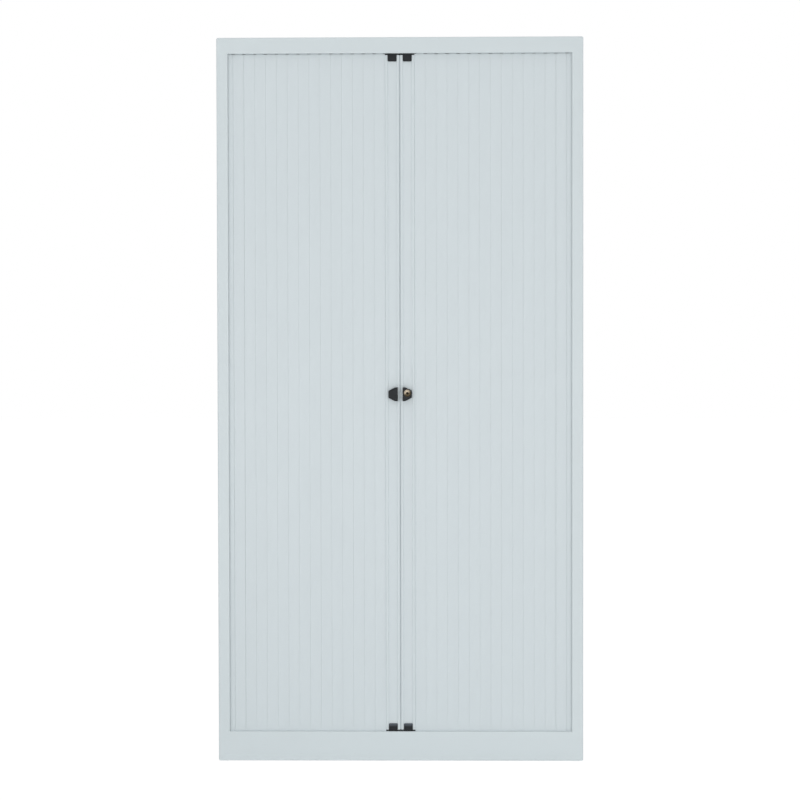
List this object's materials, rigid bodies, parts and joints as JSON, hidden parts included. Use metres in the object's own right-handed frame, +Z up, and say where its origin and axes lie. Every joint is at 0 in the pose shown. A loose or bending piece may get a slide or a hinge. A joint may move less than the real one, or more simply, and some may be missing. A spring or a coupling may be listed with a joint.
{
  "type": "tambour door cabinet",
  "caption": "Tall sheet steel cupboard with slatted tambour doors that slide apart from the middle into the sides, a lock in one grip, and shelves on slotted linings.",
  "frame": {"origin": "on the floor, in the middle of the box that holds the whole cabinet, feet and grips included", "axes": "+Z up, +X to the right seen from the front, -Y out of the front"},
  "size_m": [1, 0.4402, 1.98],
  "materials": {
    "carcass_paint": "pale blue-grey powder coat, fine orange peel",
    "slat_paint": "pale blue-grey extruded plastic, satin",
    "black_plastic": "black moulded plastic, fine texture",
    "lock_brass": "worn turned face",
    "lock_zinc": "zinc plated",
    "track_plastic": "grey extruded plastic, matt"
  },
  "bodies": {
    "carcass": {"left_side": "carcass_paint", "right_side": "carcass_paint", "top_panel": "carcass_paint", "plinth_panel": "carcass_paint", "back_panel": "carcass_paint", "base_pan": "carcass_paint", "cabinet_floor": "carcass_paint", "top_track": "track_plastic", "bottom_track": "track_plastic", "left_liner": "carcass_paint", "right_liner": "carcass_paint", "shelf_1": "carcass_paint", "shelf_2": "carcass_paint", "shelf_3": "carcass_paint", "shelf_4": "carcass_paint"},
    "left_door": {"left_lead": "slat_paint", "left_grip": "black_plastic", "left_top_shoe": "black_plastic", "left_bottom_shoe": "black_plastic", "left_slat_1": "slat_paint", "lock_keeper": "lock_zinc"},
    "right_door": {"right_lead": "slat_paint", "right_grip": "black_plastic", "right_top_shoe": "black_plastic", "right_bottom_shoe": "black_plastic", "right_slat_1": "slat_paint"},
    "lock": {"lock_barrel": "lock_brass", "lock_hook": "lock_zinc"},
    "left_slat_2_row": {"left_slat_2": "slat_paint"},
    "left_slat_3_row": {"left_slat_3": "slat_paint"},
    "left_slat_4_row": {"left_slat_4": "slat_paint"},
    "left_slat_5_row": {"left_slat_5": "slat_paint"},
    "left_slat_6_row": {"left_slat_6": "slat_paint"},
    "left_slat_7_row": {"left_slat_7": "slat_paint"},
    "left_slat_8_row": {"left_slat_8": "slat_paint"},
    "left_slat_9_row": {"left_slat_9": "slat_paint"},
    "left_slat_10_row": {"left_slat_10": "slat_paint"},
    "left_slat_11_row": {"left_slat_11": "slat_paint"},
    "left_slat_12_row": {"left_slat_12": "slat_paint"},
    "left_slat_13_row": {"left_slat_13": "slat_paint"},
    "left_slat_14_row": {"left_slat_14": "slat_paint"},
    "left_slat_15_row": {"left_slat_15": "slat_paint"},
    "right_slat_2_row": {"right_slat_2": "slat_paint"},
    "right_slat_3_row": {"right_slat_3": "slat_paint"},
    "right_slat_4_row": {"right_slat_4": "slat_paint"},
    "right_slat_5_row": {"right_slat_5": "slat_paint"},
    "right_slat_6_row": {"right_slat_6": "slat_paint"},
    "right_slat_7_row": {"right_slat_7": "slat_paint"},
    "right_slat_8_row": {"right_slat_8": "slat_paint"},
    "right_slat_9_row": {"right_slat_9": "slat_paint"},
    "right_slat_10_row": {"right_slat_10": "slat_paint"},
    "right_slat_11_row": {"right_slat_11": "slat_paint"},
    "right_slat_12_row": {"right_slat_12": "slat_paint"},
    "right_slat_13_row": {"right_slat_13": "slat_paint"},
    "right_slat_14_row": {"right_slat_14": "slat_paint"},
    "right_slat_15_row": {"right_slat_15": "slat_paint"},
    "foot_1_screw": {"foot_1": "black_plastic"},
    "foot_2_screw": {"foot_2": "black_plastic"},
    "foot_3_screw": {"foot_3": "black_plastic"},
    "foot_4_screw": {"foot_4": "black_plastic"}
  },
  "joints": [
    {"name": "left_door_slide", "type": "slide", "parent": "carcass", "child": "left_door", "axis": [-1, 0, 0], "range_m": [0, 0.428]},
    {"name": "right_door_slide", "type": "slide", "parent": "carcass", "child": "right_door", "axis": [1, 0, 0], "range_m": [0, 0.428]},
    {"name": "lock_turn", "type": "hinge", "parent": "right_door", "child": "lock", "pos_m": [0.0197, -0.18785, 1.0098], "axis": [0, -1, 0], "range_deg": [0, 90]},
    {"name": "left_slat_2_slide", "type": "slide", "parent": "carcass", "child": "left_slat_2_row", "axis": [-1, 0, 0], "range_m": [0, 0.39835], "deforming": ["left_slat_2"]},
    {"name": "left_slat_3_slide", "type": "slide", "parent": "carcass", "child": "left_slat_3_row", "axis": [-1, 0, 0], "range_m": [0, 0.3687], "deforming": ["left_slat_3"]},
    {"name": "left_slat_4_slide", "type": "slide", "parent": "carcass", "child": "left_slat_4_row", "axis": [-1, 0, 0], "range_m": [0, 0.33905], "deforming": ["left_slat_4"]},
    {"name": "left_slat_5_slide", "type": "slide", "parent": "carcass", "child": "left_slat_5_row", "axis": [-1, 0, 0], "range_m": [0, 0.3094], "deforming": ["left_slat_5"]},
    {"name": "left_slat_6_slide", "type": "slide", "parent": "carcass", "child": "left_slat_6_row", "axis": [-1, 0, 0], "range_m": [0, 0.27975], "deforming": ["left_slat_6"]},
    {"name": "left_slat_7_slide", "type": "slide", "parent": "carcass", "child": "left_slat_7_row", "axis": [-1, 0, 0], "range_m": [0, 0.2501], "deforming": ["left_slat_7"]},
    {"name": "left_slat_8_slide", "type": "slide", "parent": "carcass", "child": "left_slat_8_row", "axis": [-1, 0, 0], "range_m": [0, 0.22045], "deforming": ["left_slat_8"]},
    {"name": "left_slat_9_slide", "type": "slide", "parent": "carcass", "child": "left_slat_9_row", "axis": [-1, 0, 0], "range_m": [0, 0.1908], "deforming": ["left_slat_9"]},
    {"name": "left_slat_10_slide", "type": "slide", "parent": "carcass", "child": "left_slat_10_row", "axis": [-1, 0, 0], "range_m": [0, 0.16115], "deforming": ["left_slat_10"]},
    {"name": "left_slat_11_slide", "type": "slide", "parent": "carcass", "child": "left_slat_11_row", "axis": [-1, 0, 0], "range_m": [0, 0.1315], "deforming": ["left_slat_11"]},
    {"name": "left_slat_12_slide", "type": "slide", "parent": "carcass", "child": "left_slat_12_row", "axis": [-1, 0, 0], "range_m": [0, 0.10185], "deforming": ["left_slat_12"]},
    {"name": "left_slat_13_slide", "type": "slide", "parent": "carcass", "child": "left_slat_13_row", "axis": [-1, 0, 0], "range_m": [0, 0.0722], "deforming": ["left_slat_13"]},
    {"name": "left_slat_14_slide", "type": "slide", "parent": "carcass", "child": "left_slat_14_row", "axis": [-1, 0, 0], "range_m": [0, 0.04255], "deforming": ["left_slat_14"]},
    {"name": "left_slat_15_slide", "type": "slide", "parent": "carcass", "child": "left_slat_15_row", "axis": [-1, 0, 0], "range_m": [0, 0.0129], "deforming": ["left_slat_15"]},
    {"name": "right_slat_2_slide", "type": "slide", "parent": "carcass", "child": "right_slat_2_row", "axis": [1, 0, 0], "range_m": [0, 0.39835], "deforming": ["right_slat_2"]},
    {"name": "right_slat_3_slide", "type": "slide", "parent": "carcass", "child": "right_slat_3_row", "axis": [1, 0, 0], "range_m": [0, 0.3687], "deforming": ["right_slat_3"]},
    {"name": "right_slat_4_slide", "type": "slide", "parent": "carcass", "child": "right_slat_4_row", "axis": [1, 0, 0], "range_m": [0, 0.33905], "deforming": ["right_slat_4"]},
    {"name": "right_slat_5_slide", "type": "slide", "parent": "carcass", "child": "right_slat_5_row", "axis": [1, 0, 0], "range_m": [0, 0.3094], "deforming": ["right_slat_5"]},
    {"name": "right_slat_6_slide", "type": "slide", "parent": "carcass", "child": "right_slat_6_row", "axis": [1, 0, 0], "range_m": [0, 0.27975], "deforming": ["right_slat_6"]},
    {"name": "right_slat_7_slide", "type": "slide", "parent": "carcass", "child": "right_slat_7_row", "axis": [1, 0, 0], "range_m": [0, 0.2501], "deforming": ["right_slat_7"]},
    {"name": "right_slat_8_slide", "type": "slide", "parent": "carcass", "child": "right_slat_8_row", "axis": [1, 0, 0], "range_m": [0, 0.22045], "deforming": ["right_slat_8"]},
    {"name": "right_slat_9_slide", "type": "slide", "parent": "carcass", "child": "right_slat_9_row", "axis": [1, 0, 0], "range_m": [0, 0.1908], "deforming": ["right_slat_9"]},
    {"name": "right_slat_10_slide", "type": "slide", "parent": "carcass", "child": "right_slat_10_row", "axis": [1, 0, 0], "range_m": [0, 0.16115], "deforming": ["right_slat_10"]},
    {"name": "right_slat_11_slide", "type": "slide", "parent": "carcass", "child": "right_slat_11_row", "axis": [1, 0, 0], "range_m": [0, 0.1315], "deforming": ["right_slat_11"]},
    {"name": "right_slat_12_slide", "type": "slide", "parent": "carcass", "child": "right_slat_12_row", "axis": [1, 0, 0], "range_m": [0, 0.10185], "deforming": ["right_slat_12"]},
    {"name": "right_slat_13_slide", "type": "slide", "parent": "carcass", "child": "right_slat_13_row", "axis": [1, 0, 0], "range_m": [0, 0.0722], "deforming": ["right_slat_13"]},
    {"name": "right_slat_14_slide", "type": "slide", "parent": "carcass", "child": "right_slat_14_row", "axis": [1, 0, 0], "range_m": [0, 0.04255], "deforming": ["right_slat_14"]},
    {"name": "right_slat_15_slide", "type": "slide", "parent": "carcass", "child": "right_slat_15_row", "axis": [1, 0, 0], "range_m": [0, 0.0129], "deforming": ["right_slat_15"]},
    {"name": "foot_1_level", "type": "slide", "parent": "carcass", "child": "foot_1_screw", "axis": [0, 0, -1], "range_m": [0, 0.012]},
    {"name": "foot_2_level", "type": "slide", "parent": "carcass", "child": "foot_2_screw", "axis": [0, 0, -1], "range_m": [0, 0.012]},
    {"name": "foot_3_level", "type": "slide", "parent": "carcass", "child": "foot_3_screw", "axis": [0, 0, -1], "range_m": [0, 0.012]},
    {"name": "foot_4_level", "type": "slide", "parent": "carcass", "child": "foot_4_screw", "axis": [0, 0, -1], "range_m": [0, 0.012]}
  ],
  "couplings": [
    {"joint": "left_slat_2_slide", "follows": "left_door_slide", "ratio": 0.93072},
    {"joint": "left_slat_3_slide", "follows": "left_door_slide", "ratio": 0.86145},
    {"joint": "left_slat_4_slide", "follows": "left_door_slide", "ratio": 0.79217},
    {"joint": "left_slat_5_slide", "follows": "left_door_slide", "ratio": 0.7229},
    {"joint": "left_slat_6_slide", "follows": "left_door_slide", "ratio": 0.65362},
    {"joint": "left_slat_7_slide", "follows": "left_door_slide", "ratio": 0.58435},
    {"joint": "left_slat_8_slide", "follows": "left_door_slide", "ratio": 0.51507},
    {"joint": "left_slat_9_slide", "follows": "left_door_slide", "ratio": 0.44579},
    {"joint": "left_slat_10_slide", "follows": "left_door_slide", "ratio": 0.37652},
    {"joint": "left_slat_11_slide", "follows": "left_door_slide", "ratio": 0.30724},
    {"joint": "left_slat_12_slide", "follows": "left_door_slide", "ratio": 0.23797},
    {"joint": "left_slat_13_slide", "follows": "left_door_slide", "ratio": 0.16869},
    {"joint": "left_slat_14_slide", "follows": "left_door_slide", "ratio": 0.099416},
    {"joint": "left_slat_15_slide", "follows": "left_door_slide", "ratio": 0.03014},
    {"joint": "right_slat_2_slide", "follows": "right_door_slide", "ratio": 0.93072},
    {"joint": "right_slat_3_slide", "follows": "right_door_slide", "ratio": 0.86145},
    {"joint": "right_slat_4_slide", "follows": "right_door_slide", "ratio": 0.79217},
    {"joint": "right_slat_5_slide", "follows": "right_door_slide", "ratio": 0.7229},
    {"joint": "right_slat_6_slide", "follows": "right_door_slide", "ratio": 0.65362},
    {"joint": "right_slat_7_slide", "follows": "right_door_slide", "ratio": 0.58435},
    {"joint": "right_slat_8_slide", "follows": "right_door_slide", "ratio": 0.51507},
    {"joint": "right_slat_9_slide", "follows": "right_door_slide", "ratio": 0.44579},
    {"joint": "right_slat_10_slide", "follows": "right_door_slide", "ratio": 0.37652},
    {"joint": "right_slat_11_slide", "follows": "right_door_slide", "ratio": 0.30724},
    {"joint": "right_slat_12_slide", "follows": "right_door_slide", "ratio": 0.23797},
    {"joint": "right_slat_13_slide", "follows": "right_door_slide", "ratio": 0.16869},
    {"joint": "right_slat_14_slide", "follows": "right_door_slide", "ratio": 0.099416},
    {"joint": "right_slat_15_slide", "follows": "right_door_slide", "ratio": 0.03014}
  ]
}
